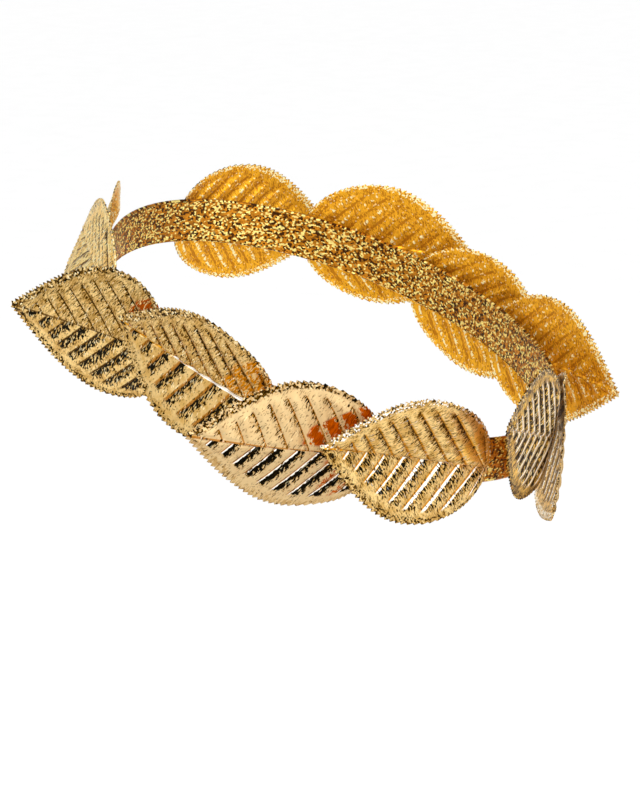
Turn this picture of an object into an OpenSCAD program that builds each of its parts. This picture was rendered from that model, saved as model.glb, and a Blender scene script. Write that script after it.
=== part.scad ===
// Leaf headband: a ring of pleated cloth leaves glued to a flat elastic band, in the shape it has when worn.
// Millimetres. +Z is the wearer's up, -Y the front, +X the wearer's left.
// The origin is the middle of the loop.

/* [Head opening] */
// Opening across, from ear to ear
head_across = 154; // [142:1:164]
// Length of the head's widest level, front to back
head_long = 194; // [182:1:206]
// Height from the widest level to the crown, which sets how much the band's wall leans
head_high = 115; // [100:1:130]
// Slope of the loop, front up and back down (degrees)
band_tilt = 19.5; // [14:0.5:24]

/* [Band] */
// Width of the elastic
band_w = 18; // [15:1:22]
// Thickness of the elastic
band_t = 1; // [1:0.1:1.5]
// Stations round the loop
band_stations = 72; // [60:6:84]

/* [Leaf] */
// Length along the midrib
leaf_l = 74; // [68:1:78]
// Width at the widest place, without the teeth
leaf_w = 48; // [44:1:52]
// Distance from the base to the widest place
leaf_widest = 32; // [28:1:36]
// Thickness of the cloth
leaf_t = 1; // [1:0.1:1.4]
// Gap between the band and a leaf's base
seat_gap = 0.3; // [0.2:0.05:0.5]
// Length of the base that follows the band
seat_l = 14; // [10:1:18]
// Turn of the base over that length (degrees)
seat_turn = 12; // [8:1:14]
// Length over which a leaf's fold grows to its full angle
fold_l = 22; // [18:1:30]

/* [Pleats] */
// Distance between side veins along the midrib
vein_pitch = 8; // [7:0.5:9]
// Side veins on each half
veins = 8; // [7:1:8]
// Angle between a side vein and the midrib (degrees)
vein_angle = 48; // [42:1:54]
// Backward bow of a side vein
vein_bow = 1.5; // [0:0.5:2.5]
// Height of a pleat
pleat_h = 0.9; // [0.4:0.1:1.2]
// Share of a pleat's width taken by its broad side
pleat_share = 0.62; // [0.5:0.02:0.7]
// Plain margin outside the pleats
margin_w = 5; // [3:0.5:7]
// Depth of the teeth along the edge
tooth_h = 1; // [0:0.1:1.4]

/* [Hidden] */

band_gold = [0.72, 0.48, 0.14];
leaf_gold = [0.85, 0.70, 0.42];

// Semi-axes of the head, and of the tilted loop on it
head_a = head_across / 2;
head_b = head_long / 2;
head_c = head_high;
loop_b = 1 / sqrt(pow(cos(band_tilt) / head_b, 2) + pow(sin(band_tilt) / head_c, 2));

// Leaves round the loop. turn: place of the base, 0 at the front and 90 at the wearer's left.
// lift: millimetres from the band's middle up to the base. The rest are degrees.
// flare: outward angle at the base. curl: turn toward the head by the tip.
// pitch: slope toward the tip. roll: upper half outward. upper, lower: fold of each half outward.
TURN = 0; LIFT = 1; FLARE = 2; CURL = 3; PITCH = 4; ROLL = 5; UPPER = 6; LOWER = 7;
leaves = [
    // turn lift flare curl pitch roll upper lower
    [    31,  -5,   12,   4,   -5,  -6,    4,   10],
    [    55,   3,    7,   9,   -6,  -4,    3,   24],
    [    89, 1.5,   20, -11,   -9,   3,  -12,   -7],
    [   124,   1,    7,  11,    5,   8,    8,   17],
    [   150,   0,   36,  20,   -2,   3,  -22,   -8],
    [ 174.5,  -2,    1,  -9,    8,  -5,   13,    9],
    [   201,  -2,    5,   0,   23,  -2,   -2,   -2],
    [   227,  -3,   10,  20,  -14,   3,  -14,   -4],
    [   261,  -4,    3, -18,    9,   6,    3,    8],
    [   293,   0,    8,   4,   -5,   0,    6,    6],
    [   325,   1,   10,  10,    6,   2,    4,    4],
    [   356,  -1,    8,   6,   -4,   0,    6,    6]
];

function unit(v) = v / norm(v);

// ---- the loop on the head ----
function loop_r(turn) = 1 / sqrt(pow(cos(turn) / loop_b, 2) + pow(sin(turn) / head_a, 2));
function loop_point(turn) =
    let (r = loop_r(turn), f = r * cos(turn))
    [r * sin(turn), -f * cos(band_tilt), f * sin(band_tilt)];
function loop_along(turn) = unit(loop_point(turn + 0.01) - loop_point(turn - 0.01));
function loop_out(turn) =
    let (p = loop_point(turn), t = loop_along(turn))
    let (g = [p.x / pow(head_a, 2), p.y / pow(head_b, 2), p.z / pow(head_c, 2)])
    unit(g - t * (g * t));
function loop_up(turn) = cross(loop_out(turn), loop_along(turn));

// ---- the outline of a flat leaf: [along, across] at angle u, 0 at the base and 180 at the tip ----
function outline(u) = [
    u < 90 ? leaf_widest * (1 - cos(u)) : leaf_widest + (leaf_l - leaf_widest) * (u - 90) / 90,
    leaf_w / 2 * sin(u)];
function outline_out(u) =
    let (d = unit(outline(u + 0.5) - outline(u - 0.5)))
    [-d.y, d.x];

// Angle u where the side vein that leaves the midrib at s meets the edge
function vein_end(s, lo = 0, hi = 180, steps = 16) =
    let (mid = (lo + hi) / 2, p = outline(mid))
    steps == 0 ? mid :
    p.x - p.y / tan(vein_angle) < s ? vein_end(s, mid, hi, steps - 1) : vein_end(s, lo, mid, steps - 1);

// ---- rows across the leaf: [place on the midrib, angle on the edge, 1 on a ridge] ----
first_vein = 2;
base_rows = 3;
rows = concat(
    [for (k = [1 : base_rows])
        [first_vein * k / (base_rows + 1), vein_end(first_vein) * k / (base_rows + 1), k % 2]],
    [for (k = [0 : 2 * veins])
        let (s = first_vein + vein_pitch * (floor(k / 2) + (k % 2) * pleat_share))
        [s, vein_end(s), k % 2]],
    let (s = (first_vein + veins * vein_pitch + leaf_l) / 2)
    [[s, vein_end(s), 1]]);
last = len(rows) - 1;

// Columns of a row, from the lower edge (-3) over the midrib (0) to the upper edge (3).
// A pleat has its full height from near_share of the row to the plain margin.
near_share = 0.14;
function column_share(c, row_l) =
    c == 0 ? 0 :
    c == 1 ? near_share :
    c == 2 ? 1 - margin_w / max(row_l, 2 * margin_w) : 1;
// Flat place and height above the leaf's inner face: [along, across, height]
function row_point(i, c) =
    let (m = [rows[i][0], 0], e = outline(rows[i][1]))
    let (share = column_share(abs(c), norm(e - m)))
    let (bow = vein_bow * sin(180 * share) * min(1, 2 * norm(e - m) / leaf_w))
    let (p = m + (e - m) * share - [bow, 0])
    abs(c) == 3 ? rim_point(i, 0, sign(c)) :
    [p.x, sign(c) * p.y, c == 0 ? 0 : pleat_h * rows[i][2] * min(1, max(0, p.x) / seat_l)];

// Teeth: rim_steps points of the edge for each row, every second one drawn out toward the tip
rim_steps = 3;
tooth_lean = 0.6;
function rim_point(i, j, side) =
    let (u = rows[i][1] + (j == 0 ? 0 : (rows[i + 1][1] - rows[i][1]) * j / rim_steps))
    let (out = (i * rim_steps + j) % 2 * tooth_h)
    let (p = outline(u) + outline_out(u) * out + [tooth_lean * out, 0])
    [p.x, side * p.y, 0];

// ---- from the flat leaf to its place on the band ----
// Arc of curvature k (degrees per mm) that leaves at angle a: [along, outward] after a length s
function arc(a, k, s) =
    let (w = abs(k) < 0.001 ? 0.001 : k)
    [(sin(a) - sin(a - w * s)), (cos(a - w * s) - cos(a))] / (w * PI / 180);
function leaf_point(leaf, q) =
    let (t = loop_along(leaf[TURN]), n = loop_out(leaf[TURN]), up = loop_up(leaf[TURN]))
    let (ahead = up * sin(leaf[PITCH]) - t * cos(leaf[PITCH]),
         side = up * cos(leaf[PITCH]) + t * sin(leaf[PITCH]))
    let (rise = band_t + seat_gap + band_w / 4 * sin(abs(leaf[ROLL])),
         start = loop_point(leaf[TURN]) + up * leaf[LIFT] + n * rise)
    // spine: the seat turns with the band, and the rest curls evenly
    let (curl_k = leaf[CURL] / leaf_l, seat_k = curl_k + seat_turn / seat_l,
         s1 = min(q.x, seat_l), s2 = q.x - s1,
         a1 = leaf[FLARE] - seat_k * s1, a2 = a1 - curl_k * s2,
         spine = arc(leaf[FLARE], seat_k, s1) + arc(a1, curl_k, s2))
    let (flat_n = n * cos(a2) - ahead * sin(a2),
         wide = side * cos(leaf[ROLL]) + flat_n * sin(leaf[ROLL]),
         face = flat_n * cos(leaf[ROLL]) - side * sin(leaf[ROLL]))
    // each half folds about the midrib, more and more from the base over fold_l
    let (fold = (q.y > 0 ? leaf[UPPER] : q.y < 0 ? leaf[LOWER] : 0) * min(1, max(0, q.x) / fold_l),
         across = wide * cos(fold) * sign(q.y) + face * sin(fold),
         height = face * cos(fold) - wide * sin(fold) * sign(q.y))
    start + ahead * spine.x + n * spine.y + across * abs(q.y) + height * q.z;

// ---- faces of a leaf ----
cols = 7;
grid = (last + 1) * cols;
extra = last * 2 * (rim_steps - 1);
base_at = grid + extra;
tip_at = base_at + 1;
face_n = tip_at + 1;
flat_points = concat(
    [for (i = [0 : last]) for (c = [-3 : 3]) row_point(i, c)],
    [for (i = [0 : last - 1]) for (side = [-1, 1]) for (j = [1 : rim_steps - 1]) rim_point(i, j, side)],
    [[0, 0, 0], [leaf_l, 0, 0]]);
function at(i, c) = i * cols + c + 3;
function rim_at(i, j, side) =
    j == 0 ? at(i, 3 * side) :
    j == rim_steps ? at(i + 1, 3 * side) :
    grid + (i * 2 + (side + 1) / 2) * (rim_steps - 1) + j - 1;
function turned(faces) = [for (f = faces) [f[2], f[1], f[0]]];
function raised(faces) = [for (f = faces) [for (k = f) k + face_n]];
function quad(a, b, c, d) = [[a, b, c], [a, c, d]];
function upper_margin(i) = let (a = at(i, 2), b = at(i + 1, 2)) [
    [a, rim_at(i, 1, 1), rim_at(i, 0, 1)],
    [a, rim_at(i, 2, 1), rim_at(i, 1, 1)],
    [a, b, rim_at(i, 2, 1)],
    [b, rim_at(i, 3, 1), rim_at(i, 2, 1)]];
function lower_margin(i) = let (a = at(i, -2), b = at(i + 1, -2)) [
    [a, rim_at(i, 0, -1), rim_at(i, 1, -1)],
    [a, rim_at(i, 1, -1), rim_at(i, 2, -1)],
    [a, rim_at(i, 2, -1), b],
    [b, rim_at(i, 2, -1), rim_at(i, 3, -1)]];
outer_faces = concat(
    [for (i = [0 : last - 1]) for (c = [-2 : 1])
        each quad(at(i, c), at(i + 1, c), at(i + 1, c + 1), at(i, c + 1))],
    [for (i = [0 : last - 1]) each concat(upper_margin(i), lower_margin(i))],
    [for (c = [-3 : 2]) each [[base_at, at(0, c), at(0, c + 1)], [at(last, c), tip_at, at(last, c + 1)]]]);
rim = concat(
    [base_at],
    [for (i = [0 : last - 1]) for (j = [0 : rim_steps - 1]) rim_at(i, j, -1)],
    [at(last, -3), tip_at, at(last, 3)],
    [for (i = [last - 1 : -1 : 0]) for (j = [rim_steps - 1 : -1 : 0]) rim_at(i, j, 1)]);
edge_faces = [for (k = [0 : len(rim) - 1])
    let (p = rim[k], q = rim[(k + 1) % len(rim)])
    each quad(q + face_n, p + face_n, p, q)];
leaf_faces = concat(turned(outer_faces), raised(outer_faces), edge_faces);

module leaf(k) {
    inner = [for (q = flat_points) leaf_point(leaves[k], q)];
    outer = [for (q = flat_points) leaf_point(leaves[k], q + [0, 0, leaf_t])];
    color(leaf_gold) polyhedron(points = concat(inner, outer), faces = leaf_faces, convexity = 6);
}

module band() {
    corners = [[-band_w / 2, 0], [band_w / 2, 0], [band_w / 2, band_t], [-band_w / 2, band_t]];
    n = band_stations;
    points = [for (k = [0 : n - 1]) let (a = 360 * k / n)
        for (c = corners) loop_point(a) + loop_up(a) * c[0] + loop_out(a) * c[1]];
    faces = [for (k = [0 : n - 1]) for (c = [0 : 3])
        let (k2 = (k + 1) % n, c2 = (c + 1) % 4)
        each quad(k * 4 + c, k2 * 4 + c, k2 * 4 + c2, k * 4 + c2)];
    color(band_gold) polyhedron(points = points, faces = faces, convexity = 6);
}

band();
leaf(0);  // leaf_1
leaf(1);  // leaf_2
leaf(2);  // leaf_3
leaf(3);  // leaf_4
leaf(4);  // leaf_5
leaf(5);  // leaf_6
leaf(6);  // leaf_7
leaf(7);  // leaf_8
leaf(8);  // leaf_9
leaf(9);  // leaf_10
leaf(10);  // leaf_11
leaf(11);  // leaf_12
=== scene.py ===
import math

import bmesh
import bpy
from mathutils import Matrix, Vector, noise


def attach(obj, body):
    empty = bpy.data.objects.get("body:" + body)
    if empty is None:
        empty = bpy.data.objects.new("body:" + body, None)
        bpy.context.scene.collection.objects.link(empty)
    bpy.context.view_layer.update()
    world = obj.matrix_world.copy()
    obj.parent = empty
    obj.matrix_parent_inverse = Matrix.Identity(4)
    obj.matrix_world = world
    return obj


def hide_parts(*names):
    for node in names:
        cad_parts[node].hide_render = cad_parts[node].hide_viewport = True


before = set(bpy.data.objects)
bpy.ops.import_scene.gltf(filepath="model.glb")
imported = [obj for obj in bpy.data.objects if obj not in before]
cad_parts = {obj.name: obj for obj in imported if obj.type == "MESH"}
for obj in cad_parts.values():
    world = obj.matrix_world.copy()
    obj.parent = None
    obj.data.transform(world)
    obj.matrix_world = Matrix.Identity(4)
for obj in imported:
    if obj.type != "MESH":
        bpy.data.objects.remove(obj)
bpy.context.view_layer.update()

millimetre = 0.001
tiny = 0.001             # keeps divisions off zero


def direction(azimuth, elevation):
    # azimuth is 0 at the wearer's front and 90 at the wearer's left
    turn, tilt = math.radians(azimuth), math.radians(elevation)
    return Vector((math.sin(turn) * math.cos(tilt), -math.cos(turn) * math.cos(tilt), math.sin(tilt)))


def addObject(name, data):
    thing = bpy.data.objects.new(name, data)
    bpy.context.scene.collection.objects.link(thing)
    return thing


def aimAlong(thing, way):
    thing.rotation_euler = way.to_track_quat("-Z", "Y").to_euler()


view = {
    "azimuth": 136.0,        # degrees
    "elevation": 10.5,
    "distance": 1.6,         # metres
    "lens": 188.5, "sensor": 36,     # millimetres
    "near": 0.05, "far": 60,
    "aimRight": -0.00325,    # the point in the middle of the frame, from the origin
    "aimUp": -0.0248,
}


def makeCamera():
    back = direction(view["azimuth"], view["elevation"])
    turn = math.radians(view["azimuth"])
    right = Vector((math.cos(turn), math.sin(turn), 0))
    aim = right * view["aimRight"] + back.cross(right) * view["aimUp"]
    data = bpy.data.cameras.new("camera")
    data.sensor_fit = "AUTO"
    data.sensor_width = view["sensor"]
    data.lens = view["lens"]
    data.clip_start, data.clip_end = view["near"], view["far"]
    camera = addObject("camera", data)
    camera.location = back * view["distance"]
    aimAlong(camera, aim - camera.location)
    bpy.context.scene.camera = camera


makeCamera()
print("camera ready")


# helpers that build the node trees, laid out on a grid in the order they are made
nodeGrid = {"rows": 8, "across": 220, "down": 260}


def newMaterial(name):
    material = bpy.data.materials.new(name)
    material.use_nodes = True
    material.node_tree.nodes.clear()
    return material


def addNode(tree, kind, settings=None, values=None):
    column, row = divmod(len(tree.nodes), nodeGrid["rows"])
    node = tree.nodes.new(kind)
    node.location = (column * nodeGrid["across"], -row * nodeGrid["down"])
    for key, value in (settings or {}).items():
        setattr(node, key, value)
    for key, value in (values or {}).items():
        node.inputs[key].default_value = value
    return node


def feed(tree, node, slot, value):
    # the value is a number, a colour, another node's output, or nothing
    if isinstance(value, (int, float)):
        node.inputs[slot].default_value = value
    elif isinstance(value, tuple):
        node.inputs[slot].default_value = (*value, 1)
    elif value is not None:
        tree.links.new(value, node.inputs[slot])


def addMath(tree, operation, first, *others, clamp=False):
    # more than two values are taken one after another
    for value in others or (None,):
        node = addNode(tree, "ShaderNodeMath", {"operation": operation, "use_clamp": clamp})
        feed(tree, node, 0, first)
        feed(tree, node, 1, value)
        first = node.outputs[0]
    return first


def addTimes(tree, *values):
    return addMath(tree, "MULTIPLY", *values)


def addSum(tree, *values):
    return addMath(tree, "ADD", *values)


def addMost(tree, *values):
    return addMath(tree, "MAXIMUM", *values)


def addRange(tree, value, low, high, toLow=0.0, toHigh=1.0):
    node = addNode(tree, "ShaderNodeMapRange", {"interpolation_type": "SMOOTHSTEP"},
                   {"From Min": low, "From Max": high, "To Min": toLow, "To Max": toHigh})
    feed(tree, node, "Value", value)
    return node.outputs["Result"]


def addRise(tree, value, place, soft):
    # 0 below the place and 1 above it
    return addRange(tree, value, place - soft, place + soft)


def addFall(tree, value, place, soft):
    # 1 below the place and 0 above it
    return addRange(tree, value, place - soft, place + soft, 1.0, 0.0)


def addStrip(tree, value, low, high, soft):
    return addTimes(tree, addRise(tree, value, low, soft), addFall(tree, value, high, soft))


def addMix(tree, factor, first, second):
    node = addNode(tree, "ShaderNodeMix", {"data_type": "RGBA"})
    factorSlot, firstSlot, secondSlot, resultSlot = 0, 6, 7, 2    # the node's colour sockets
    feed(tree, node, factorSlot, factor)
    feed(tree, node, firstSlot, first)
    feed(tree, node, secondSlot, second)
    return node.outputs[resultSlot]


def finishMaterial(tree, colour, metal, roughness, height, strength, relief):
    bump = addNode(tree, "ShaderNodeBump", None, {"Strength": strength, "Distance": relief})
    feed(tree, bump, "Height", height)
    shader = addNode(tree, "ShaderNodeBsdfPrincipled", None, {"Roughness": roughness})
    feed(tree, shader, "Base Color", colour)
    feed(tree, shader, "Metallic", metal)
    feed(tree, shader, "Normal", bump.outputs[0])
    out = addNode(tree, "ShaderNodeOutputMaterial")
    feed(tree, out, "Surface", shader.outputs[0])


# the loop on the head, as in the part's source: millimetres and degrees
loop = {"headAcross": 154, "headLong": 194, "headHigh": 115, "tilt": 19.5, "step": 0.01}
headA, headB, headC = loop["headAcross"] / 2, loop["headLong"] / 2, loop["headHigh"]
tiltSin, tiltCos = math.sin(math.radians(loop["tilt"])), math.cos(math.radians(loop["tilt"]))
loopB = 1 / math.sqrt((tiltCos / headB) ** 2 + (tiltSin / headC) ** 2)


def loopPoint(turn):
    a = math.radians(turn)
    r = 1 / math.sqrt((math.cos(a) / loopB) ** 2 + (math.sin(a) / headA) ** 2)
    f = r * math.cos(a)
    return Vector((r * math.sin(a), -f * tiltCos, f * tiltSin))


def loopAlong(turn):
    return (loopPoint(turn + loop["step"]) - loopPoint(turn - loop["step"])).normalized()


def loopOut(turn):
    p, t = loopPoint(turn), loopAlong(turn)
    g = Vector((p.x / headA ** 2, p.y / headB ** 2, p.z / headC ** 2))
    return (g - t * g.dot(t)).normalized()


def loopUp(turn):
    return loopOut(turn).cross(loopAlong(turn))


# the elastic, in millimetres
band = {
    "wide": 18,
    "thick": 1,
    "stations": 360,
    "girthSteps": 72,        # straight steps that measure its length
    "merge": 0.001,          # points closer than this are one
    "ribs": 9,               # lengthwise ribs of the knit
    "ribColumns": 4,         # columns of faces in each
    "ribHigh": 0.12,
    "edgeDrop": 0.25,        # rounding of the edges
    "edgeFrom": 0.94,        # share of half the width
    "deepGold": (0.68, 0.26, 0.014),
    "shadeGold": (0.055, 0.016, 0.001),
    # colour of the painted glints
    "brightGold": (1.0, 0.82, 0.26),
    "metal": 0.9,
    "roughness": 0.31,
    "stitch": (1.3, 1.6, 1),         # glitter grains in a millimetre
    "uneven": 0.9,
    "spark": (0.74, 0.78),           # the grains over this get painted glints
    "dull": (0.32, 0.50),            # and those under this get the painted shade colour
    "patches": {"Scale": 0.35, "Detail": 3},
    "patchShade": (0.35, 0.65, 0.0, 0.45),
    "bump": 0.7,
    "relief": 0.0004,                # metres, as for the leaves
}


def makeBandMaterial():
    material = newMaterial("glitterKnit")
    tree = material.node_tree
    uv = addNode(tree, "ShaderNodeUVMap", {"uv_map": "cloth"}).outputs[0]
    yarn = addNode(tree, "ShaderNodeMapping", None, {"Scale": band["stitch"]})
    feed(tree, yarn, "Vector", uv)
    stitch = addNode(tree, "ShaderNodeTexVoronoi", {"voronoi_dimensions": "2D"},
                     {"Scale": 1.0, "Randomness": band["uneven"]})
    feed(tree, stitch, "Vector", yarn.outputs[0])
    patch = addNode(tree, "ShaderNodeTexNoise", None, band["patches"])
    feed(tree, patch, "Vector", uv)
    cell = addNode(tree, "ShaderNodeSeparateColor")
    feed(tree, cell, 0, stitch.outputs["Color"])
    # painted glints on the bright grains, painted shade on the dark grains and in cloudy patches
    spark = addRange(tree, cell.outputs[0], *band["spark"])
    dull = addRange(tree, cell.outputs[1], *band["dull"])
    body = addMix(tree, dull, band["shadeGold"], band["deepGold"])
    body = addMix(tree, addRange(tree, patch.outputs["Fac"], *band["patchShade"]), body, band["shadeGold"])
    colour = addMix(tree, spark, body, band["brightGold"])
    height = addSum(tree, stitch.outputs["Distance"], cell.outputs[2])
    finishMaterial(tree, colour, band["metal"], band["roughness"], height, band["bump"], band["relief"])
    return material


def makeBand():
    across = band["ribs"] * band["ribColumns"]
    bm = bmesh.new()
    bmesh.ops.create_grid(bm, x_segments=band["stations"], y_segments=across, size=1)
    uvLayer = bm.loops.layers.uv.new("cloth")
    girth, step = 0, 360 / band["girthSteps"]
    for k in range(band["girthSteps"]):
        girth += (loopPoint(step * k + step) - loopPoint(step * k)).length
    for face in bm.faces:
        for corner in face.loops:
            x, y = corner.vert.co.x, corner.vert.co.y
            corner[uvLayer].uv = ((x + 1) / 2 * girth, y * band["wide"] / 2)
    for vert in bm.verts:
        turn, share = (vert.co.x + 1) * 180, vert.co.y
        ribs = band["ribHigh"] * (math.cos(math.pi * share * band["ribs"]) - 1) / 2
        edge = band["edgeDrop"] * max(0, (abs(share) - band["edgeFrom"]) / (1 - band["edgeFrom"]))
        place = loopPoint(turn) + loopUp(turn) * share * band["wide"] / 2
        place += loopOut(turn) * (band["thick"] + ribs - edge)
        vert.co = place * millimetre
    bmesh.ops.remove_doubles(bm, verts=bm.verts[:], dist=band["merge"] * millimetre)
    bm.normal_update()       # the faces have to point away from the head
    if sum(face.normal.dot(face.calc_center_median()) for face in bm.faces) < 0:
        bmesh.ops.reverse_faces(bm, faces=bm.faces[:])
    for face in bm.faces:
        face.smooth = True
    mesh = bpy.data.meshes.new("knitBand")
    bm.to_mesh(mesh)
    bm.free()
    mesh.materials.append(makeBandMaterial())
    piece = addObject("elasticBand", mesh)
    wall = piece.modifiers.new("wall", "SOLIDIFY")
    wall.thickness = band["thick"] * millimetre
    wall.offset = -1
    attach(piece, "root")
    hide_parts("band")


makeBand()
print("band ready")

# the leaves' cut and press, in millimetres and degrees
leafCut = {
    "long": 74, "wide": 48, "widestAt": 32,    # wide is without the teeth
    "thick": 0.5,
    "outer": 1.0,            # height of the outer face over the seat
    "seatGap": 0.3,          # room for the glue
    "seatLong": 14, "seatTurn": 12,  # the base follows the band this far, bent by this much
    "foldLong": 22,          # the fold along the midrib is full from here
    "veins": 8, "veinPitch": 8, "firstVein": 2, "veinBow": 0.5,
    "basePleats": 2,         # narrow ones that spread from the base
    "baseRows": 80, "tipRows": 15,
    "columns": 32,           # on each half
    "evenColumns": 0.45,     # 1 for equal ones, less for closer ones at the midrib and the rim
    "ribColumns": (0.42, 0.95),      # the first two, from the midrib
    "merge": 0.0002,         # points closer than this are one
    "pleatHigh": 0.9,
    "pleatShare": 0.62,      # place of the ridge within a pleat
    "pleatFrom": 1.5,        # the pleats rise within this of the midrib
    "grooveShare": 0.28, "grooveWide": 0.07, "ridgePower": 1.15,
    "margin": 5,             # plain cloth along the edge
    "marginDrop": 0.9, "dropFrom": 0.12, "dropOver": 0.05,   # how the pleats flatten toward it
    "toothHigh": 0.85, "toothLean": 0.7, "toothDeep": 0.9,
    "ribHigh": 0.3, "ribWide": 0.9, "ribFrom": 6,            # the pressed line on the midrib
    # slow and fine unevenness of the cloth
    "pucker": 0.2, "puckerSize": 9, "puckerSeed": 7.3, "puckerFrom": 10,
    "crinkle": 0.06, "crinkleLong": 1.7, "crinkleWide": 2.6, "crinkleSeed": 3.1,
}
# each leaf's place on the band, and how it stands: turn lift flare curl pitch roll upper lower
leafPlaces = [
    (31, -5, 12, 4, -5, -6, 4, 10), (55, 3, 7, 9, -6, -4, 3, 24), (89, 1.5, 20, -11, -9, 3, -12, -7),
    (124, 1, 7, 11, 5, 8, 8, 17), (150, 0, 36, 20, -2, 3, -22, -8), (174.5, -2, 1, -9, 8, -5, 13, 9),
    (201, -2, 5, 0, 23, -2, -2, -2), (227, -3, 10, 20, -14, 3, -14, -4), (261, -4, 3, -18, 9, 6, 3, 8),
    (293, 0, 8, 4, -5, 0, 6, 6), (325, 1, 10, 10, 6, 2, 4, 4), (356, -1, 8, 6, -4, 0, 6, 6),
]
# side veins of the upper and the lower half: angle to the midrib, and shift toward the tip in pleats
leafVeins = {3: ((40, 0.27), (42, 0.0)), 4: ((44, 0.2), (64, 0.0)), 5: ((60, 0.43), (52, -0.05)),
             6: ((43, 0.0), (57, 0.5))}
plainVeins = ((48, 0.0), (48, 0.45))
pleatSteps = [0, 0.03, 0.08, 0.15, 0.23, 0.31, 0.39, 0.47, 0.55, 0.60, 0.65, 0.72, 0.80, 0.88, 0.95]
toothSteps = [0, 0.35, 0.7, 1.0, 0.5]    # one tooth, row by row


def outline(u):
    # u runs along a half's edge: 0 at the base, 90 where the leaf is widest and 180 at the tip
    a = math.radians(u)
    widest, rest = leafCut["widestAt"], leafCut["long"] - leafCut["widestAt"]
    x = widest * (1 - math.cos(a)) if u < 90 else widest + rest * (u - 90) / 90
    return Vector((x, leafCut["wide"] / 2 * math.sin(a)))


def outlineOut(u):
    step = 0.5
    d = (outline(u + step) - outline(u - step)).normalized()
    return Vector((-d.y, d.x))


def veinEnd(s, veinAngle):
    # where a vein from the midrib at s meets the edge
    low, high, halvings = 0.0, 180.0, 24
    slope = math.tan(math.radians(veinAngle))
    for _ in range(halvings):
        middle = (low + high) / 2
        p = outline(middle)
        if p.x - p.y / slope < s:
            low = middle
        else:
            high = middle
    return (low + high) / 2


def rampUp(x):
    x = min(1, max(0, x))
    return x * x * (3 - 2 * x)


def pleatProfile(p, ridge):
    # 0 in a groove and 1 on the ridge
    x = p / ridge if p < ridge else (1 - p) / (1 - ridge)
    groove = leafCut["grooveShare"]
    return (groove * (1 - math.exp(-x / leafCut["grooveWide"]))
            + (1 - groove) * math.sin(x * math.pi / 2) ** leafCut["ridgePower"])


def leafRows(veinAngle, shift):
    # a row: place on the midrib, vein's place on the edge, rim's place, vein number, pleat height
    first, pitch, veins = leafCut["firstVein"], leafCut["veinPitch"], leafCut["veins"]
    baseRows, basePleats, tipRows = leafCut["baseRows"], leafCut["basePleats"], leafCut["tipRows"]
    rows = []

    def addRow(s, veinU, rimU, number):
        number -= shift
        rows.append((s, veinU, rimU, number, pleatProfile(number % 1, leafCut["pleatShare"])))

    firstEnd = veinEnd(first, veinAngle)
    for k in range(baseRows):
        f = k / baseRows
        addRow(first * f, firstEnd * f, firstEnd * f, basePleats * f - basePleats)
    for vein in range(veins):
        ends = [veinEnd(first + pitch * (vein + k), veinAngle) for k in (0, 1)]
        for k, p in enumerate(pleatSteps):
            s = first + pitch * (vein + p)
            rim = ends[0] + (ends[1] - ends[0]) * k / len(pleatSteps)
            addRow(s, veinEnd(s, veinAngle), rim, vein + p)
    start = first + pitch * veins
    lastEnd = veinEnd(start, veinAngle)
    for k in range(tipRows + 1):
        f = k / tipRows
        u = lastEnd * (1 - f) + 180 * f
        addRow(start + (leafCut["long"] - start) * f, u, u, veins + f)
    return rows


def flatPoint(row, index, column, seed):
    # along, across and height of a grid point on the flat leaf, and how near the rim it lies
    s, veinU, rimU, _, pleat = row
    half = -1 if column < 0 else 1
    start, veinPoint, rimPoint = Vector((s, 0)), outline(veinU), outline(rimU)
    rowLong = max((veinPoint - start).length, tiny)
    x, even = abs(column) / leafCut["columns"], leafCut["evenColumns"]
    share = even * x + (1 - even) * (1 - math.cos(math.pi * x)) / 2
    if 1 <= abs(column) <= len(leafCut["ribColumns"]):
        share = min(share, leafCut["ribColumns"][abs(column) - 1] / rowLong)
    reach = rowLong * share
    inner = 1 - leafCut["margin"] / max(rowLong, 2 * leafCut["margin"])
    bow = leafCut["veinBow"] * math.sin(math.pi * share) * min(1, 2 * rowLong / leafCut["wide"])
    p = start + (veinPoint - start) * share - Vector((bow, 0))
    p += (rimPoint - veinPoint) * rampUp((share - inner) / (1 - inner))
    tooth = toothSteps[index % len(toothSteps)] * leafCut["toothHigh"]
    tooth *= max(0, 1 - rowLong * (1 - share) / leafCut["toothDeep"])
    p += outlineOut(rimU) * tooth + Vector((leafCut["toothLean"] * tooth, 0))
    along, across = p.x, p.y * half
    low = rampUp(reach / leafCut["pleatFrom"])
    drop = rampUp((share - inner + leafCut["dropFrom"]) / (1 - inner + leafCut["dropOver"]))
    out = 1 - leafCut["marginDrop"] * drop
    height = leafCut["pleatHigh"] * pleat * low * out * min(1, max(0, along) / leafCut["seatLong"])
    rib = max(0, 1 - reach / leafCut["ribWide"]) * rampUp(along / leafCut["ribFrom"])
    height += leafCut["ribHigh"] * rib
    slow = noise.noise(Vector((along / leafCut["puckerSize"], across / leafCut["puckerSize"],
                               seed * leafCut["puckerSeed"])))
    fine = noise.noise(Vector((along / leafCut["crinkleLong"], across / leafCut["crinkleWide"],
                               seed * leafCut["crinkleSeed"])))
    height += leafCut["pucker"] * slow * rampUp(along / leafCut["puckerFrom"]) + leafCut["crinkle"] * fine
    return along, across, height, share / inner, rowLong * (1 - share)


def arc(angle, k, s):
    # a curve's reach along and outward after a length s, k in degrees per millimetre
    w = tiny if abs(k) < tiny else k
    a, b = math.radians(angle), math.radians(angle - w * s)
    return (math.sin(a) - math.sin(b)) / math.radians(w), (math.cos(b) - math.cos(a)) / math.radians(w)


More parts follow.
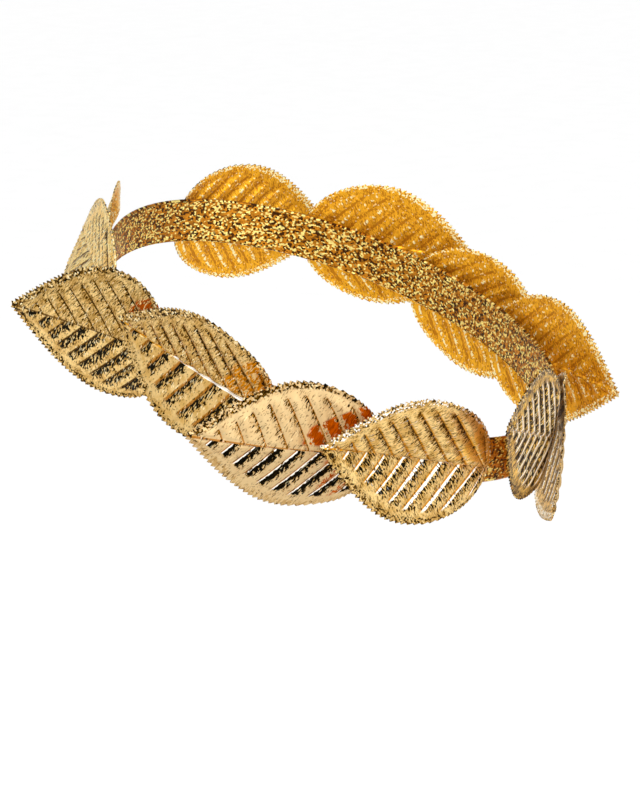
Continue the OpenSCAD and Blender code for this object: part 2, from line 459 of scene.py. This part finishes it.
def leafPlacer(turn, lift, flare, curl, pitch, roll, upper, lower):
    # gives the function that bends the flat leaf and sets it on the band
    t, n, up = loopAlong(turn), loopOut(turn), loopUp(turn)
    pitchA, rollA = math.radians(pitch), math.radians(roll)
    ahead = up * math.sin(pitchA) - t * math.cos(pitchA)
    side = up * math.cos(pitchA) + t * math.sin(pitchA)
    rise = band["thick"] + leafCut["seatGap"] + band["wide"] / 4 * math.sin(abs(rollA))
    start = loopPoint(turn) + up * lift + n * rise
    curlK = curl / leafCut["long"]
    seatK = curlK + leafCut["seatTurn"] / leafCut["seatLong"]

    def place(along, across, height):
        s1 = min(along, leafCut["seatLong"])
        s2 = along - s1
        a1 = flare - seatK * s1
        a2 = math.radians(a1 - curlK * s2)
        first, second = arc(flare, seatK, s1), arc(a1, curlK, s2)
        flatN = n * math.cos(a2) - ahead * math.sin(a2)
        wide = side * math.cos(rollA) + flatN * math.sin(rollA)
        face = flatN * math.cos(rollA) - side * math.sin(rollA)
        sign = (across > 0) - (across < 0)
        fold = math.radians((upper if sign > 0 else lower) * min(1, max(0, along) / leafCut["foldLong"]))
        acrossWay = wide * math.cos(fold) * sign + face * math.sin(fold) * abs(sign)
        heightWay = face * math.cos(fold) - wide * math.sin(fold) * sign
        return (start + ahead * (first[0] + second[0]) + n * (first[1] + second[1])
                + acrossWay * abs(across) + heightWay * height)

    return place


# the cloth: sizes in millimetres, and shares from 0 to 1
lame = {
    "panelGold": (0.83, 0.585, 0.24),
    "deepGold": (0.71, 0.44, 0.13),
    "midGold": (0.42, 0.215, 0.035),
    # painted shade colour of the creases and the midrib's line
    "creaseShadeGold": (0.38, 0.13, 0.010),
    "strokeBrown": (0.17, 0.072, 0.005),
    "strokeBlack": (0.010, 0.008, 0.003),
    # colour of the painted highlight along the ridges and the midrib
    "highlightGold": (1.0, 0.95, 0.86),
    # colour of the painted glints
    "glintGold": (1.0, 0.84, 0.50),
    # painted shade, deep orange, where the next leaf lies over this one
    "tuckedShadeGold": (0.40, 0.085, 0.0),
    "tuckedShadeDeep": (0.16, 0.022, 0.0),
    "innerGold": (1.0, 0.51, 0.022),
    # innerDeep is the inner face's dark grain and also the colour of its painted shade lines
    "innerDeep": (0.46, 0.15, 0.002),
    # colour of the inner face's painted glints
    "innerSpark": (1.0, 0.88, 0.46),
    "roughness": 0.46,
    "metal": 0.92,
    "strokeAlong": 0.36,     # size of the crinkle strokes
    "strokeAcross": 1.35,
    "upperLean": 30,         # degrees from straight across the leaf
    "lowerLean": 30,
    "dotSize": 0.62,
    # how much of the cloth is strokes: everywhere, in the dark stripes of painted reflection, beside the
    # upper creases and in the creases as painted shade, and on the two rims
    "ink": 0.14, "stripeInk": 0.58, "creaseInk": 0.45, "upperRimInk": 0.36, "lowerRimInk": 0.15,
    "creaseDash": 0.30,
    "midShare": 0.45, "busy": 0.45,  # strokes of middle gold, and how many of them on the open panels
    "lowerCalm": 1.0,        # how much of all this the lower half's panels keep
    "grain": 0.42,           # fine specks between the strokes
    "creaseWide": 0.045,     # share of a pleat
    "ribLine": 0.13,         # half the width of the midrib's painted shade line
    "fleck": 0.06, "rimFleck": 0.12,     # painted glints: bright spots
    # places within a pleat, 0 in a crease and 1 in the next one toward the tip, and over 1 for none
    "stripe": (0.46, 0.97), "upperStripe": 0.34, "white": (1.2, 1.3), "upperWhite": (1.2, 1.3),
    "upperToo": 0.0,         # 1 where the dark stripes are on both halves
    "whiteWiden": 0.0,       # more of the pleat in the middle of the leaf
    "litShare": 0.55,        # painted glints along the creases of the inner face
    "innerLine": 0.60,       # painted shade: dark line between them
    "innerLineFrom": 0.38,
    "innerMetal": 0.80,
    "ribWhite": 0.0,         # width of the painted highlight on the midrib
    # reach and strength of the painted shade, a deep orange, beside the leaf that lies over this one
    "tuckedLong": 0, "tuckedHigh": 23, "tuckedFrom": 1.2, "tuckedEnd": 0.80, "tuckedLow": 0,
    "tuckedShare": 1.0,
    "tuckedSpots": 1.1,      # how many of the strokes show it
}
# the two leaves at the left of the photo
farLook = {
    "panelGold": (1.0, 0.79, 0.34), "deepGold": (1.0, 0.69, 0.23), "midGold": (0.80, 0.47, 0.09),
    "strokeBrown": (0.20, 0.085, 0.008), "strokeBlack": (0.03, 0.012, 0.001),
    "creaseShadeGold": (0.14, 0.06, 0.005), "creaseWide": 0.11, "creaseDash": 0.5, "creaseInk": 0.98,
    "upperStripe": 0.40, "stripe": (0.55, 0.97), "ink": 0.06, "busy": 0.5, "grain": 0.16,
    "upperRimInk": 0.25, "fleck": 0.10, "glintGold": (1.0, 0.90, 0.58),
}
# what each leaf has of its own
leafLooks = {
    1: farLook,
    2: farLook,
    3: {"ink": 0.15, "lowerRimInk": 0.42, "upperRimInk": 0.45, "upperLean": 26, "lowerLean": 11,
        "creaseShadeGold": (0.12, 0.045, 0.005), "creaseWide": 0.06, "creaseDash": 0.75, "creaseInk": 0.46,
        "upperStripe": 0.30, "stripe": (0.38, 0.97), "stripeInk": 0.70, "lowerCalm": 0.4, "fleck": 0.03,
        "strokeAcross": 0.95, "tuckedLong": 27, "tuckedHigh": 26, "tuckedFrom": 10.5, "tuckedSpots": 0.85,
        "busy": 0.5, "panelGold": (0.94, 0.67, 0.27), "tuckedShadeGold": (0.56, 0.10, 0.0)},
    4: {"ink": 0.12, "stripe": (0.48, 0.93), "stripeInk": 0.66, "ribWhite": 0.9, "lowerRimInk": 0.25,
        "creaseWide": 0.09, "creaseShadeGold": (0.46, 0.16, 0.003), "creaseDash": 0.25, "creaseInk": 0.85,
        "upperStripe": 0.28, "lowerCalm": 0.3, "fleck": 0.03, "strokeAcross": 1.05, "tuckedLong": 24,
        "tuckedHigh": 24, "tuckedSpots": 0.62, "tuckedShadeGold": (0.74, 0.27, 0.002),
        "tuckedShadeDeep": (0.36, 0.10, 0.0), "upperLean": 20, "lowerLean": 2},
    5: {"ink": 0.02, "stripeInk": 0.98, "stripe": (0.52, 0.93), "white": (0.92, 0.97), "fleck": 0.0,
        "creaseInk": 0.50, "rimFleck": 0.03, "lowerRimInk": 0.03, "grain": 0.14, "upperRimInk": 0.55,
        "creaseShadeGold": (0.46, 0.17, 0.010), "panelGold": (0.71, 0.52, 0.265),
        "deepGold": (0.68, 0.48, 0.235),
        "tuckedLong": 33, "tuckedLow": 22, "tuckedEnd": 0.74, "tuckedShadeGold": (0.62, 0.115, 0.0),
        "strokeBlack": (0.004, 0.003, 0.001), "roughness": 0.56, "busy": 0.0},
    6: {"ink": 0.11, "lowerRimInk": 0.34, "upperRimInk": 0.26, "stripeInk": 0.46, "stripe": (0.40, 0.86),
        "white": (0.885, 0.955), "whiteWiden": 0.07, "upperStripe": 0.50, "rimFleck": 0.28,
        "creaseInk": 0.78, "creaseWide": 0.08, "creaseShadeGold": (0.64, 0.26, 0.006), "creaseDash": 0.08,
        "panelGold": (0.90, 0.64, 0.26), "busy": 0.2, "grain": 0.34, "glintGold": (1.0, 0.97, 0.90),
        "fleck": 0.0, "upperLean": 46, "lowerLean": -38, "strokeAcross": 0.85,
        "tuckedLong": 17, "tuckedHigh": 27, "tuckedShare": 0.6, "tuckedShadeGold": (1.0, 0.56, 0.07),
        "tuckedShadeDeep": (0.66, 0.28, 0.01)},
    7: {"ink": 0.28, "upperRimInk": 0.50, "lowerRimInk": 0.48, "white": (0.51, 0.67),
        "upperWhite": (0.51, 0.67), "stripe": (0.72, 0.99), "upperToo": 1.0, "creaseInk": 0.40,
        "upperStripe": 0.50, "stripeInk": 0.70, "strokeBlack": (0.03, 0.014, 0.001),
        "panelGold": (0.96, 0.61, 0.14), "midGold": (0.48, 0.21, 0.012), "highlightGold": (1.0, 0.90, 0.74)},
    8: {"innerGold": (1.0, 0.66, 0.24), "innerDeep": (0.10, 0.035, 0.002), "innerSpark": (1.0, 0.94, 0.78),
        "litShare": 0.80, "innerLine": 1.0, "innerLineFrom": 0.24, "innerMetal": 0.5, "roughness": 0.6},
}
# the same on every leaf: where a row has numbers in pairs, they say from where to where, and from how
# much to how much
cloth = {
    "halfSoft": 0.15,                 # border between the halves
    "shareSoft": 0.04,                # border between grains that are taken and those that aren't
    "speckSize": (0.40, 0.62),
    "patch": (5.0, 6.0, 3),           # clouds: size along, across, and detail
    "wisps": (1.1, 2.0, 2),
    "cloudRough": 0.6,
    "panel": (0.93, 1.03, 1, 0),      # the pleated part ends here, as a share of the way to the margin
    "plainEdge": (2.4, 3.4),          # and this far from the edge
    "rim": (3.0, 4.0, 1, 0), "rimRagged": 2.2,
    "ragged": (0.3, 0.7, -0.14, 0.14),                   # uneven borders of the stripes
    "stripeStart": (-0.10, 0.22), "stripeEnd": 0.01,     # how softly a stripe starts and ends
    # painted shade beside the upper creases, weaker near the midrib
    "besideFrom": 0.02, "besideReach": (0.05, 0.9, 0.35, 1.0),
    "creaseSoft": (0.6, 1.3), "ribSoft": (0.7, 1.3), "lineStrength": 0.85,
    # the painted highlight: wider in the middle of the leaf, uneven, broken by strokes, and no metal
    "whiteMiddle": (15.0, 38.0, 6.0), "whiteRagged": (0.3, 0.7, -0.03, 0.03), "whiteSoft": 0.012,
    "whiteGaps": (0.06, 0.14), "whiteMetal": -0.65,
    "ribWhiteLong": (20.0, 70.0), "ribWhiteEnd": 0.3, "ribWhiteSoft": 0.1,
    # where strokes are more, where they are blacker, and where the gold and the specks are deeper
    "patchInk": (0.35, 0.65, 0.45, 1.45), "rimBusy": 0.6,
    "toneBlack": 0.75, "stripeBlack": 0.7, "besideBlack": 0.3, "rimBlack": 0.3, "black": (0.25, 0.85),
    "patchGold": (0.40, 0.64),
    "wispGrain": (0.35, 0.65, 0.3, 1.6), "grainDark": (0.0, 1.0, 0.10, 0.75),
    # borders of the painted shade under the next leaf, and what it does to the strokes
    "tuckedSlopes": (0.4, 0.5), "tuckedSoft": (0.8, 0.5, 1.5), "tuckedAcross": 1,
    "tuckedStart": 0.05, "tuckedLowEnd": 0.30, "tuckedStripSoft": 0.03,
    "tuckedTone": 0.75, "tuckedInk": 0.3,
    # bumps
    "wispHigh": 0.3, "strokeHigh": 0.30, "speckHigh": 0.15,
    "bump": 0.9, "relief": 0.00020,   # metres
}
# the inner face of every leaf
back = {
    "strokeShort": 0.6,               # against the outer face's
    "dotSize": 0.55,
    "patch": (4.0, 5.0, 3),
    "rim": (1.4, 2.2, 1, 0),
    # painted glints along the creases, fewer of them on the upper half, and some on the rim and anywhere
    "lit": (0.03, 0.11, 1, 0),
    "sideLit": (-0.5, 0.5, 1.0, 0.3), "rimSpark": 0.42, "anySpark": 0.02, "sparkMetal": -0.35,
    "lineSoft": 0.06,
    "patchInk": (0.35, 0.65, 0.10, 0.42), "inkStrength": 0.8, "toneDeep": 0.45,
    "strokeHigh": 0.4, "dotHigh": 0.2,
    "relief": 0.00018,
}


def addClothParts(tree):
    uv = addNode(tree, "ShaderNodeUVMap", {"uv_map": "cloth"}).outputs[0]
    parts = addNode(tree, "ShaderNodeSeparateXYZ")
    feed(tree, parts, 0, uv)
    values = {"uv": uv, "along": parts.outputs[0], "across": parts.outputs[1]}
    for key in ("veinNumber", "veinReach", "edgeRoom"):
        values[key] = addNode(tree, "ShaderNodeAttribute", {"attribute_name": key}).outputs["Fac"]
    numberLift = 4.0         # the base's vein numbers are under 0
    values["phase"] = addMath(tree, "FRACT", addSum(tree, values["veinNumber"], numberLift))
    values["fromCrease"] = addMath(tree, "PINGPONG", values["phase"], 0.5)
    return values


def addCloud(tree, uv, sizeAlong, sizeAcross, detail):
    mapping = addNode(tree, "ShaderNodeMapping", None, {"Scale": (1 / sizeAlong, 1 / sizeAcross, 1)})
    cloud = addNode(tree, "ShaderNodeTexNoise", {"noise_dimensions": "2D"},
                    {"Scale": 1.0, "Detail": detail, "Roughness": cloth["cloudRough"]})
    feed(tree, mapping, "Vector", uv)
    feed(tree, cloud, "Vector", mapping.outputs[0])
    return cloud.outputs["Fac"]


def addGrains(tree, uv, sizeAlong, sizeAcross, lean=0):
    # three random numbers for each grain
    mapping = addNode(tree, "ShaderNodeMapping", {"vector_type": "TEXTURE"},
                      {"Scale": (sizeAlong, sizeAcross, 1), "Rotation": (0, 0, math.radians(lean))})
    cells = addNode(tree, "ShaderNodeTexVoronoi", {"voronoi_dimensions": "2D"}, {"Scale": 1.0})
    split = addNode(tree, "ShaderNodeSeparateColor")
    feed(tree, mapping, "Vector", uv)
    feed(tree, cells, "Vector", mapping.outputs[0])
    feed(tree, split, 0, cells.outputs["Color"])
    return split.outputs[0], split.outputs[1], split.outputs[2]


def addSlant(tree, along, across, lower, upperLean, lowerLean):
    # the flat position with the strokes of each half stood straight across
    lean = addRange(tree, lower, 0, 1, math.tan(math.radians(upperLean)), math.tan(math.radians(lowerLean)))
    both = addNode(tree, "ShaderNodeCombineXYZ")
    feed(tree, both, 0, addSum(tree, along, addTimes(tree, across, lean)))
    feed(tree, both, 1, across)
    return both.outputs[0]


def addShare(tree, grain, share):
    # 1 on the given share of the grains
    return addFall(tree, addMath(tree, "SUBTRACT", grain, share), 0, cloth["shareSoft"])


def addTuckedShade(tree, look, along, across, ragged, lower, inside):
    # painted shade between two creases, where the next leaf lies over this one
    farSlope, steepSlope = cloth["tuckedSlopes"]
    farSoft, steepSoft, lowSoft = cloth["tuckedSoft"]
    stripSoft, start = cloth["tuckedStripSoft"], cloth["tuckedStart"]
    far = addSum(tree, along, addTimes(tree, across, farSlope))
    steep = addSum(tree, across, addTimes(tree, along, steepSlope))
    sideFrom = look["tuckedFrom"]
    tucked = addTimes(tree, addFall(tree, far, look["tuckedLong"], farSoft),
                      addFall(tree, steep, look["tuckedHigh"], steepSoft),
                      addStrip(tree, ragged, start, look["tuckedEnd"], stripSoft),
                      addRange(tree, across, sideFrom, sideFrom + cloth["tuckedAcross"]))
    if look["tuckedLow"]:
        below = addTimes(tree, addFall(tree, along, look["tuckedLow"], lowSoft),
                         addStrip(tree, ragged, start, cloth["tuckedLowEnd"], stripSoft), lower, inside)
        tucked = addMost(tree, tucked, below)
    return addTimes(tree, tucked, look["tuckedShare"])


def makeLeafMaterial(name, look):
    material = newMaterial(name)
    tree = material.node_tree
    parts = addClothParts(tree)
    uv, along, across, phase = parts["uv"], parts["along"], parts["across"], parts["phase"]
    lower = addFall(tree, across, 0, cloth["halfSoft"])
    upper = addMath(tree, "SUBTRACT", 1.0, lower)
    slant = addSlant(tree, along, across, lower, look["upperLean"], look["lowerLean"])
    hair, hairTone, hairLight = addGrains(tree, slant, look["strokeAlong"], look["strokeAcross"])
    dot, _, dotLight = addGrains(tree, uv, look["dotSize"], look["dotSize"])
    speck, speckTone, _ = addGrains(tree, slant, *cloth["speckSize"])
    patch = addCloud(tree, uv, *cloth["patch"])
    wisps = addCloud(tree, uv, *cloth["wisps"])

    # where in the leaf
    inside = addTimes(tree, addRange(tree, parts["veinReach"], *cloth["panel"]),
                      addRange(tree, parts["edgeRoom"], *cloth["plainEdge"]))
    rim = addRange(tree, addSum(tree, parts["edgeRoom"], addTimes(tree, wisps, cloth["rimRagged"])),
                   *cloth["rim"])
    ragged = addSum(tree, phase, addRange(tree, wisps, *cloth["ragged"]))
    # the dark stripes are a painted reflection of a dark surround, on the flanks of the pleats, mostly on the
    # lower half
    low, high = look["stripe"]
    early, late = cloth["stripeStart"]
    stripe = addTimes(tree, addRange(tree, ragged, low + early, low + late),
                      addFall(tree, phase, high, cloth["stripeEnd"]), inside,
                      addMost(tree, lower, look["upperToo"]))
    # painted shade beside the upper creases
    beside = addTimes(tree, addRange(tree, ragged, cloth["besideFrom"], look["upperStripe"], 1.0, 0.0),
                      addRange(tree, parts["veinReach"], *cloth["besideReach"]), upper, inside)
    # painted shade in the creases and, below, along the midrib
    creaseIn, creaseOut = cloth["creaseSoft"]
    crease = addTimes(tree, inside, addRange(tree, parts["fromCrease"], look["creaseWide"] * creaseIn,
                                             look["creaseWide"] * creaseOut, 1, 0))
    fromRib = addMath(tree, "ABSOLUTE", across)
    ribIn, ribOut = cloth["ribSoft"]
    rib = addRange(tree, fromRib, look["ribLine"] * ribIn, look["ribLine"] * ribOut, 1.0, 0.0)

    # painted highlights, nearly white: along the ridges, and on the midrib
    middle = addStrip(tree, along, *cloth["whiteMiddle"])
    widened = addSum(tree, phase, addTimes(tree, middle, look["whiteWiden"]),
                     addRange(tree, wisps, *cloth["whiteRagged"]))
    low, high = look["white"]
    highlightLow = addTimes(tree, lower, addRise(tree, widened, low, cloth["whiteSoft"]),
                         addFall(tree, phase, high, cloth["whiteSoft"]))
    highlightHigh = addTimes(tree, addStrip(tree, phase, *look["upperWhite"], cloth["whiteSoft"]), upper)
    paintedHighlight = addTimes(tree, addSum(tree, highlightLow, highlightHigh), inside)
    white = addTimes(tree, paintedHighlight, addRange(tree, hair, *cloth["whiteGaps"]))
    if look["ribWhite"]:
        wide = addRange(tree, along, *cloth["ribWhiteLong"], look["ribWhite"],
                        look["ribWhite"] * cloth["ribWhiteEnd"])
        onRib = addFall(tree, addMath(tree, "SUBTRACT", fromRib, wide), 0, cloth["ribWhiteSoft"])
        white = addMost(tree, white, addTimes(tree, onRib, addMath(tree, "SUBTRACT", 1.0, rib)))

    # dark strokes, partly painted reflection in the stripes and painted shade beside the creases, dots on the
    # rim, and flecks of painted glint
    calm = addRange(tree, lower, 0, 1, 1.0, look["lowerCalm"])
    uneven = addTimes(tree, addRange(tree, patch, *cloth["patchInk"]), calm, look["ink"])
    share = addSum(tree, uneven, addTimes(tree, stripe, look["stripeInk"]),
                   addTimes(tree, beside, look["creaseInk"]), addTimes(tree, crease, look["creaseDash"]))
    strokes = addShare(tree, hair, share)
    rimInk = addSum(tree, addTimes(tree, upper, look["upperRimInk"]),
                    addTimes(tree, lower, look["lowerRimInk"]))
    dots = addTimes(tree, addShare(tree, dot, rimInk), rim)
    dark = addMost(tree, strokes, dots)
    blacker = addSum(tree, addTimes(tree, hairTone, cloth["toneBlack"]),
                     addTimes(tree, stripe, cloth["stripeBlack"]),
                     addTimes(tree, beside, cloth["besideBlack"]), addTimes(tree, rim, cloth["rimBlack"]))
    blacker = addRange(tree, blacker, *cloth["black"])
    busy = addMost(tree, stripe, beside, addTimes(tree, rim, cloth["rimBusy"]),
                   addTimes(tree, calm, look["busy"]))
    half = addTimes(tree, busy, addShare(tree, hairLight, look["midShare"]))
    flecks = addTimes(tree, addShare(tree, hairLight, look["fleck"]), inside)
    rimFlecks = addTimes(tree, addShare(tree, dotLight, look["rimFleck"]), rim, upper)
    grain = addTimes(tree, addRange(tree, wisps, *cloth["wispGrain"]), calm, look["grain"])
    specks = addTimes(tree, addShare(tree, speck, grain), addRange(tree, speckTone, *cloth["grainDark"]))

    # the colours, laid one over another
    colour = addMix(tree, addRange(tree, patch, *cloth["patchGold"]), look["panelGold"], look["deepGold"])
    colour = addMix(tree, specks, colour, look["strokeBrown"])
    colour = addMix(tree, half, colour, look["midGold"])
    fuller = dark
    # painted shade, deep orange, where the next leaf lies over this one
    if look["tuckedLong"]:
        tucked = addTimes(tree, addTuckedShade(tree, look, along, across, ragged, lower, inside),
                          addShare(tree, hairLight, look["tuckedSpots"]))
        tuckedTone = addMix(tree, addTimes(tree, hairTone, cloth["tuckedTone"]), look["tuckedShadeGold"],
                            look["tuckedShadeDeep"])
        colour = addMix(tree, tucked, colour, tuckedTone)
        dark = addTimes(tree, dark, addRange(tree, tucked, 0.0, 1.0, 1.0, cloth["tuckedInk"]))
        fuller = addMost(tree, dark, tucked)
    # the creases and the midrib get the painted shade colour
    lines = addTimes(tree, addMost(tree, crease, rib), cloth["lineStrength"])
    colour = addMix(tree, lines, colour, look["creaseShadeGold"])
    colour = addMix(tree, dark, colour, addMix(tree, blacker, look["strokeBrown"], look["strokeBlack"]))
    colour = addMix(tree, addMost(tree, flecks, rimFlecks), colour, look["glintGold"])
    colour = addMix(tree, white, colour, look["highlightGold"])
    metal = addMath(tree, "ADD", addTimes(tree, white, cloth["whiteMetal"]),
                    addRange(tree, fuller, 0.0, 1.0, look["metal"], 1.0), clamp=True)
    height = addSum(tree, addTimes(tree, wisps, cloth["wispHigh"]), addTimes(tree, hair, cloth["strokeHigh"]),
                    addTimes(tree, speck, cloth["speckHigh"]))
    finishMaterial(tree, colour, metal, look["roughness"], height, cloth["bump"], cloth["relief"])
    return material


def makeInnerMaterial(name, look):
    material = newMaterial(name)
    tree = material.node_tree
    parts = addClothParts(tree)
    uv, fromCrease = parts["uv"], parts["fromCrease"]
    hair, hairTone, _ = addGrains(tree, uv, look["strokeAlong"], look["strokeAcross"] * back["strokeShort"],
                                  look["upperLean"])
    dot, _, dotLight = addGrains(tree, uv, back["dotSize"], back["dotSize"])
    patch = addCloud(tree, uv, *back["patch"])
    wisps = addCloud(tree, uv, *cloth["wisps"])
    inside = addRange(tree, parts["veinReach"], *cloth["panel"])
    rim = addRange(tree, parts["edgeRoom"], *back["rim"])
    side = addRange(tree, parts["across"], *back["sideLit"])
    lit = addTimes(tree, addRange(tree, fromCrease, *back["lit"]), inside, side)
    # painted shade: a dark line between the painted glints of the creases
    lineFrom = look["innerLineFrom"]
    line = addTimes(tree, addRange(tree, fromCrease, lineFrom, lineFrom + back["lineSoft"]), inside)
    ink = addSum(tree, addRange(tree, patch, *back["patchInk"]), addTimes(tree, line, look["innerLine"]))
    strokes = addShare(tree, hair, ink)
    # painted glints along the creases, on the rim and anywhere
    sparkShare = addSum(tree, addTimes(tree, lit, look["litShare"]), addTimes(tree, rim, back["rimSpark"]),
                        back["anySpark"])
    sparks = addShare(tree, dotLight, sparkShare)
    colour = addMix(tree, addTimes(tree, hairTone, back["toneDeep"]), look["innerGold"], look["innerDeep"])
    colour = addMix(tree, addTimes(tree, strokes, back["inkStrength"]), colour, look["innerDeep"])
    colour = addMix(tree, sparks, colour, look["innerSpark"])
    metal = addMath(tree, "ADD", addTimes(tree, sparks, back["sparkMetal"]), look["innerMetal"], clamp=True)
    height = addSum(tree, wisps, addTimes(tree, hair, back["strokeHigh"]),
                    addTimes(tree, dot, back["dotHigh"]))
    finishMaterial(tree, colour, metal, look["roughness"], height, cloth["bump"], back["relief"])
    return material


def makeLeaf(number, settings):
    place = leafPlacer(*settings)
    upperVeins, lowerVeins = leafVeins.get(number, plainVeins)
    rows = {1: leafRows(*upperVeins), -1: leafRows(*lowerVeins)}
    columns, lastRow = leafCut["columns"], len(rows[1]) - 1
    bm = bmesh.new()
    bmesh.ops.create_grid(bm, x_segments=lastRow, y_segments=2 * columns, size=1)
    uvLayer = bm.loops.layers.uv.new("cloth")
    numberLayer = bm.verts.layers.float.new("veinNumber")
    reachLayer = bm.verts.layers.float.new("veinReach")
    roomLayer = bm.verts.layers.float.new("edgeRoom")
    flat = {}
    for vert in bm.verts:
        index = round((vert.co.x + 1) / 2 * lastRow)
        column = round((vert.co.y + 1) * columns) - columns
        row = rows[-1 if column < 0 else 1][index]
        along, across, height, reach, room = flatPoint(row, index, column, number)
        vert[numberLayer], vert[reachLayer], vert[roomLayer] = row[3], reach, room
        flat[vert.index] = (along, across)
        vert.co = place(along, across, height + leafCut["outer"]) * millimetre
    for face in bm.faces:
        face.smooth = True
        for corner in face.loops:
            corner[uvLayer].uv = flat[corner.vert.index]
    bmesh.ops.remove_doubles(bm, verts=bm.verts[:], dist=leafCut["merge"] * millimetre)
    bm.normal_update()       # as on the band
    out = loopOut(settings[0])
    if sum(face.normal.dot(out) for face in bm.faces) < 0:
        bmesh.ops.reverse_faces(bm, faces=bm.faces[:])
    mesh = bpy.data.meshes.new(f"clothLeaf{number}")
    bm.to_mesh(mesh)
    bm.free()
    look = dict(lame, **leafLooks.get(number, {}))
    mesh.materials.append(makeLeafMaterial(f"pressedLame{number}", look))
    mesh.materials.append(makeInnerMaterial(f"lameBack{number}", look))
    piece = addObject(f"clothLeaf{number}", mesh)
    wall = piece.modifiers.new("wall", "SOLIDIFY")
    wall.thickness = leafCut["thick"] * millimetre
    wall.offset = -1
    wall.material_offset = 1         # the inner face's material
    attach(piece, "root")
    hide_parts(f"leaf_{number}")


for number, settings in enumerate(leafPlaces, 1):
    makeLeaf(number, settings)
print("leaves ready")

# the room, in metres and degrees
studio = {
    "floorSize": 30,
    "floorZ": -0.33,
    "floorTones": ((0.86, 0.86, 0.86), (0.9, 0.9, 0.9)),
    "fibre": {"Scale": 40.0, "Detail": 3},
    "paper": {"Roughness": 0.9, "Specular IOR Level": 0.1},
    # brightness of the air: height from 0 at the level line to 1 overhead, and tone
    "air": ((0.0, 0.85), (0.22, 0.85), (0.42, 0.46), (0.66, 0.46), (0.85, 0.8)),
    "sunPower": 1.8,
    "sunSize": 28,
    "sunFrom": (0.55, 0.35, 1.1),
    "keyAzimuth": 165, "keyElevation": 22, "keyAway": 1.5,
    "keySize": (0.7, 0.9),
    "keyPower": 7,
}


def makeFloor():
    bm = bmesh.new()
    bmesh.ops.create_grid(bm, x_segments=1, y_segments=1, size=studio["floorSize"])
    bmesh.ops.translate(bm, verts=bm.verts[:], vec=(0, 0, studio["floorZ"]))
    mesh = bpy.data.meshes.new("studioFloor")
    bm.to_mesh(mesh)
    bm.free()
    material = newMaterial("palePaper")
    tree = material.node_tree
    place = addNode(tree, "ShaderNodeTexCoord")
    fibre = addNode(tree, "ShaderNodeTexNoise", None, studio["fibre"])
    feed(tree, fibre, "Vector", place.outputs["Object"])
    shader = addNode(tree, "ShaderNodeBsdfPrincipled", None, studio["paper"])
    feed(tree, shader, "Base Color", addMix(tree, fibre.outputs["Fac"], *studio["floorTones"]))
    out = addNode(tree, "ShaderNodeOutputMaterial")
    feed(tree, out, "Surface", shader.outputs[0])
    mesh.materials.append(material)
    addObject("studioFloor", mesh)


def makeWorld():
    world = bpy.data.worlds.new("studioAir")
    bpy.context.scene.world = world
    world.use_nodes = True
    tree = world.node_tree
    place = addNode(tree, "ShaderNodeTexCoord")
    parts = addNode(tree, "ShaderNodeSeparateXYZ")
    feed(tree, parts, 0, place.outputs["Generated"])
    ramp = addNode(tree, "ShaderNodeValToRGB")
    feed(tree, ramp, 0, parts.outputs[2])
    while len(ramp.color_ramp.elements) < len(studio["air"]):
        ramp.color_ramp.elements.new(1.0)
    for element, (height, tone) in zip(ramp.color_ramp.elements, studio["air"]):
        element.position = height
        element.color = (tone, tone, tone, 1)
    feed(tree, tree.nodes["Background"], "Color", ramp.outputs[0])


def makeSun():
    data = bpy.data.lights.new("softSun", "SUN")
    data.energy, data.angle = studio["sunPower"], math.radians(studio["sunSize"])
    aimAlong(addObject("softSun", data), -Vector(studio["sunFrom"]).normalized())


def makeKeyLight():
    data = bpy.data.lights.new("keyBox", "AREA")
    data.shape = "RECTANGLE"
    data.size, data.size_y = studio["keySize"]
    data.energy = studio["keyPower"]
    light = addObject("keyBox", data)
    way = direction(studio["keyAzimuth"], studio["keyElevation"])
    light.location = way * studio["keyAway"]
    light.visible_camera = False
    aimAlong(light, -way)


makeFloor()
makeWorld()
makeSun()
makeKeyLight()
bpy.context.scene.view_settings.view_transform = "Standard"
print("studio ready")
